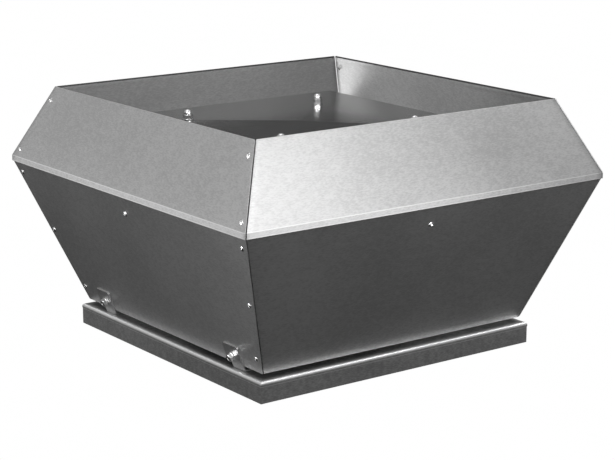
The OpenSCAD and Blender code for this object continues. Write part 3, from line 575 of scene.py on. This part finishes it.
def make_lid_fasteners():
    washer_places = at_corners(STUD_OFFSET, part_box("lid_washers")[0].z)
    washer = [(5.2, 0.2), (5.2, 1.7), (5.4, 1.9), (10.2, 1.9), (10.5, 1.6), (10.5, 0.3), (10.2, 0), (5.4, 0),
              (5.2, 0.2)]
    group("washers_lid", "lid_washers", BRIGHT, "fan_head", washer_places, [washer],
          30, 48)
    cap_places = at_corners(STUD_OFFSET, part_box("cap_nuts")[0].z)
    ball = 7.9
    cap = [(0, 12), (5.05, 11.4), (5.05, 0.4), (5.5, 0)] + hex_rows(17, 0, 8)
    cap += [(7.75, 8.0), (7.6, 8.3), (7.6, 9.0), (ball, 10.0)]
    for degrees in range(10, 86, 8):
        angle = math.radians(degrees)
        cap.append((ball * math.cos(angle), 10 + ball * math.sin(angle)))
    cap.append((0, 10 + ball))
    group("nuts_cap", "cap_nuts", BRIGHT, "fan_head", cap_places, [cap], 25, 72)
    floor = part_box("motor_plate")[0].z
    stud_places = at_corners(STUD_OFFSET, floor)
    top = (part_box("lid_studs")[1].z - floor) / MM
    stud = [(0, -11), (4.3, -11), (5, -10.3), (5, top - 0.7), (4.3, top), (0, top)]
    group("studs_lid", "lid_studs", ZINC, "fan_head", stud_places, [stud], 30, 48)
    nuts = [nut_rows(17, 5.05, -8.1, -0.1), nut_rows(17, 5.05, 3.1, 11.1)]
    group("nuts_stud", "lid_stud_nuts", ZINC, "fan_head", stud_places, nuts, 25, 72)


# Simple finish of the CAD nodes that stay --------------------------------------------------------

def dress_cad_nodes():
    slots = {entry["node"]: entry["material_slot"] for entry in frame["record"]["subparts"]}
    for name, piece in nodes.items():
        material = SLOT_MATERIALS[slots[name]]
        piece.data.materials.clear()
        piece.data.materials.append(material)
        bevel = piece.modifiers.new("edges", "BEVEL")
        bevel.width = 0.3 * MM
        bevel.segments = 2
        bevel.limit_method = "ANGLE"
        bevel.angle_limit = math.radians(40)


# Stage ------------------------------------------------------------------------------------------

def make_floor():
    bm = bmesh.new()
    bmesh.ops.create_grid(bm, x_segments=1, y_segments=1, size=12)
    mesh = bpy.data.meshes.new("floor")
    bm.to_mesh(mesh)
    bm.free()
    floor = bpy.data.objects.new("floor", mesh)
    bpy.context.scene.collection.objects.link(floor)
    floor.location.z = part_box("skirt_frame")[0].z
    n = Nodes("floor")
    grain = n.spread(n.noise(8), 0.97, 1.0)
    white = n.add("ShaderNodeEmission", {"Color": n.tint(grain, grey(0.90), grey(1.0)), "Strength": 1.0})
    output = next(node for node in n.tree.nodes if node.type == "OUTPUT_MATERIAL")
    n.feed(output.inputs["Surface"], white.outputs[0])
    mesh.materials.append(n.material)
    floor.visible_glossy = False
    floor.visible_diffuse = False
    floor.visible_shadow = False


def make_world():
    """A soft studio: dim below the horizon, a pale band round it and a softer sky."""
    world = bpy.data.worlds.new("studio")
    bpy.context.scene.world = world
    world.use_nodes = True
    tree = world.node_tree
    direction = tree.nodes.new("ShaderNodeTexCoord").outputs["Generated"]
    parts = tree.nodes.new("ShaderNodeSeparateXYZ")
    tree.links.new(direction, parts.inputs[0])
    height = tree.nodes.new("ShaderNodeMapRange")
    height.inputs["From Min"].default_value = -1
    tree.links.new(parts.outputs["Z"], height.inputs["Value"])
    ramp = tree.nodes.new("ShaderNodeValToRGB")
    stops = ramp.color_ramp
    levels = [(0.0, 0.02), (0.24, 0.02), (0.34, 0.10), (0.40, 0.38), (0.62, 0.41), (0.80, 0.44), (1.0, 0.48)]
    while len(stops.elements) < len(levels):
        stops.elements.new(0.5)
    for element, (at, level) in zip(stops.elements, levels):
        element.position = at
        element.color = (level, level, level, 1)
    tree.links.new(height.outputs["Result"], ramp.inputs["Fac"])
    color = ramp.outputs["Color"]
    # the walls behind the fan, on the hinge side, and at its right are darker
    for heading, low, high, level in (((0.60, 0.78, 0.15), 0.45, 0.95, 0.12),
                                      ((0.86, -0.45, 0.22), 0.80, 0.98, 0.35)):
        flat = tree.nodes.new("ShaderNodeVectorMath")
        flat.operation = "DOT_PRODUCT"
        tree.links.new(direction, flat.inputs[0])
        flat.inputs[1].default_value = heading
        shade = tree.nodes.new("ShaderNodeMapRange")
        shade.interpolation_type = "SMOOTHSTEP"
        shade.inputs["From Min"].default_value = low
        shade.inputs["From Max"].default_value = high
        shade.inputs["To Min"].default_value = 1.0
        shade.inputs["To Max"].default_value = level
        tree.links.new(flat.outputs["Value"], shade.inputs["Value"])
        dimmed = tree.nodes.new("ShaderNodeVectorMath")
        dimmed.operation = "SCALE"
        tree.links.new(color, dimmed.inputs[0])
        tree.links.new(shade.outputs["Result"], dimmed.inputs["Scale"])
        color = dimmed.outputs["Vector"]
    seen = tree.nodes.new("ShaderNodeLightPath").outputs["Is Camera Ray"]
    mix = tree.nodes.new("ShaderNodeMix")
    mix.data_type = "RGBA"
    tree.links.new(seen, mix.inputs["Factor"])
    tree.links.new(color, mix.inputs["A"])
    mix.inputs["B"].default_value = (1, 1, 1, 1)
    tree.links.new(mix.outputs["Result"], tree.nodes["Background"].inputs["Color"])
    tree.nodes["Background"].inputs["Strength"].default_value = 1.0


def soft_box(name, place, size, radiance, target=(0, 0, 0.3)):
    """A square area light at a place, turned to a target, as bright as its radiance says."""
    data = bpy.data.lights.new(name, "AREA")
    data.shape = "SQUARE"
    data.size = size
    data.energy = radiance * math.pi * size * size
    lamp = bpy.data.objects.new(name, data)
    bpy.context.scene.collection.objects.link(lamp)
    lamp.location = place
    lamp.rotation_mode = "QUATERNION"
    lamp.rotation_quaternion = (Vector(place) - Vector(target)).to_track_quat("Z", "Y")
    lamp.visible_camera = False
    return lamp


def only_on(lamp, pieces, through=False):
    """Limits a lamp to some pieces. With through, nothing else casts a shadow in its light."""
    lit = bpy.data.collections.new(lamp.name + "_lit")
    for piece in pieces:
        lit.objects.link(piece)
    lamp.light_linking.receiver_collection = lit
    if through:
        lamp.light_linking.blocker_collection = lit


def make_lights():
    pieces = bpy.data.objects
    # near enough that the upper front panel fades from its near corner to its far end
    soft_box("key", (0.16, -1.30, 1.02), 0.8, 1.55, (-0.2, -0.36, 0.39))
    soft_box("high", (1.5, -1.3, 2.6), 1.6, 0.35)
    soft_box("top", (-0.5, 0.3, 3.4), 2.4, 0.9)
    soft_box("flash", (-1.73, -1.18, 1.83), 0.5, 4.4)
    band = soft_box("band", (0.30, -1.33, 0.14), 0.95, 1.0, (-0.2, -0.387, 0.317))
    only_on(band, [pieces["folded_upper_front"]])
    band_left = soft_box("band_left", (-1.25, 0.88, -0.04), 1.0, 0.6, (-0.387, -0.1, 0.317))
    only_on(band_left, [pieces["folded_upper_left"]])
    # what the lid throws up on the far walls' inner faces
    inside = soft_box("inside", (0.42, -0.05, -0.35), 0.5, 1.8, (-0.1, 0.33, 0.42))
    only_on(inside, [pieces["folded_upper_back"]], True)
    side = soft_box("side", (0.08, 0.86, -0.17), 0.5, 1.35, (0.33, 0.1, 0.42))
    only_on(side, [pieces["folded_upper_right"]], True)
    only_on(soft_box("edge_front", (1.5, -0.84, 1.95), 1.0, 4.4), [nodes["base_plate"]])
    only_on(soft_box("edge_left", (-0.86, 1.96, 1.45), 1.0, 0.8), [nodes["base_plate"]])
    patch = soft_box("patch", (0.17, 0.53, 0.03), 0.12, 3.2, (0.34, 0.12, 0.41))
    only_on(patch, [pieces["folded_upper_right"]], True)
    beside = soft_box("beside", (-0.95, -0.95, 0.30), 0.4, 7, (-0.33, -0.25, 0.2))
    only_on(beside, [pieces["folded_lower_left"]])
    bright = [pieces[name] for name in ("rivets_lower", "rivets_upper", "screws_stay", "bolts_lock",
                                        "washers_lid", "nuts_cap")]
    for name, place, radiance in (("glint_a", (-1.9, -1.2, 1.5), 6), ("glint_b", (-0.3, -2.4, 0.9), 6),
                                  ("glint_c", (-2.0, 0.4, 0.2), 6), ("glint_d", (-1.6, -2.2, 0.3), 14)):
        only_on(soft_box(name, place, 1.0, radiance), bright)


make_camera()
dress_cad_nodes()
make_housing()
make_rivets()
make_screws()
make_lock_bolts()
make_lid_fasteners()
make_floor()
make_world()
make_lights()
bpy.context.scene.view_settings.view_transform = "Standard"
bpy.context.view_layer.update()
